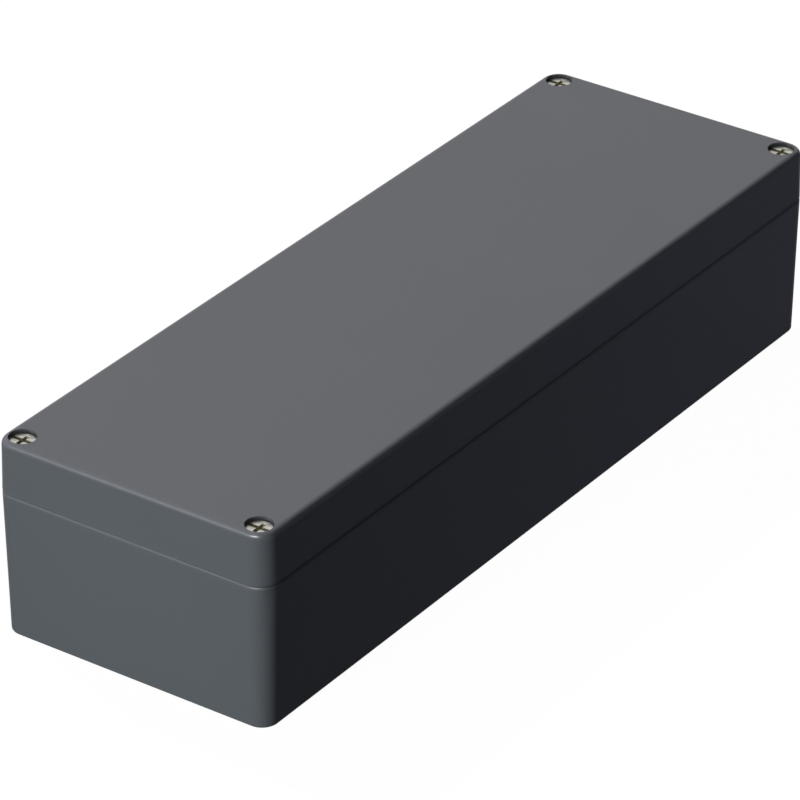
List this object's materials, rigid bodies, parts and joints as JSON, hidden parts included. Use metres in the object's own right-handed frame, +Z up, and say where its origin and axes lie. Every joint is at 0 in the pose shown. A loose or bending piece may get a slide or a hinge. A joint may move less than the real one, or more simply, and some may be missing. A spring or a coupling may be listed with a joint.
{
  "type": "aluminium enclosure",
  "caption": "Long die-cast aluminium enclosure with a gasketed lid held by captive corner screws, for electrical equipment fixed to a wall or panel.",
  "frame": {"origin": "middle of the underside of the base", "axes": "+X along the length, +Y across the width, +Z up through the lid"},
  "size_m": [0.36, 0.12, 0.08],
  "materials": {
    "coated_casting": "satin",
    "seal_rubber": "matte",
    "screw_steel": "satin",
    "ring_nylon": "satin",
    "earth_steel": "satin"
  },
  "bodies": {
    "base": {"base_box": "coated_casting", "earth_screw": "earth_steel", "earth_washer": "earth_steel"},
    "lid": {"lid": "coated_casting", "gasket": "seal_rubber"},
    "retainer_1": {"screw_retainer_1": "ring_nylon"},
    "screw_1": {"lid_screw_1": "screw_steel"},
    "retainer_2": {"screw_retainer_2": "ring_nylon"},
    "screw_2": {"lid_screw_2": "screw_steel"},
    "retainer_3": {"screw_retainer_3": "ring_nylon"},
    "screw_3": {"lid_screw_3": "screw_steel"},
    "retainer_4": {"screw_retainer_4": "ring_nylon"},
    "screw_4": {"lid_screw_4": "screw_steel"}
  },
  "joints": [
    {"name": "lid_lift", "type": "slide", "parent": "base", "child": "lid", "axis": [0, 0, 1], "range_m": [0, 0.1]},
    {"name": "screw_1_rise", "type": "slide", "parent": "lid", "child": "retainer_1", "axis": [0, 0, 1], "range_m": [0, 0.0094]},
    {"name": "screw_1_turn", "type": "hinge", "parent": "retainer_1", "child": "screw_1", "pos_m": [-0.172, -0.052, 0.0785], "axis": [0, 0, 1], "range_deg": [0, 3390]},
    {"name": "screw_2_rise", "type": "slide", "parent": "lid", "child": "retainer_2", "axis": [0, 0, 1], "range_m": [0, 0.0094]},
    {"name": "screw_2_turn", "type": "hinge", "parent": "retainer_2", "child": "screw_2", "pos_m": [0.172, -0.052, 0.0785], "axis": [0, 0, 1], "range_deg": [0, 3390]},
    {"name": "screw_3_rise", "type": "slide", "parent": "lid", "child": "retainer_3", "axis": [0, 0, 1], "range_m": [0, 0.0094]},
    {"name": "screw_3_turn", "type": "hinge", "parent": "retainer_3", "child": "screw_3", "pos_m": [0.172, 0.052, 0.0785], "axis": [0, 0, 1], "range_deg": [0, 3390]},
    {"name": "screw_4_rise", "type": "slide", "parent": "lid", "child": "retainer_4", "axis": [0, 0, 1], "range_m": [0, 0.0094]},
    {"name": "screw_4_turn", "type": "hinge", "parent": "retainer_4", "child": "screw_4", "pos_m": [-0.172, 0.052, 0.0785], "axis": [0, 0, 1], "range_deg": [0, 3390]}
  ],
  "couplings": [
    {"joint": "screw_1_turn", "follows": "screw_1_rise", "rad_per_m": 6283.2},
    {"joint": "screw_2_turn", "follows": "screw_2_rise", "rad_per_m": 6283.2},
    {"joint": "screw_3_turn", "follows": "screw_3_rise", "rad_per_m": 6283.2},
    {"joint": "screw_4_turn", "follows": "screw_4_rise", "rad_per_m": 6283.2}
  ]
}
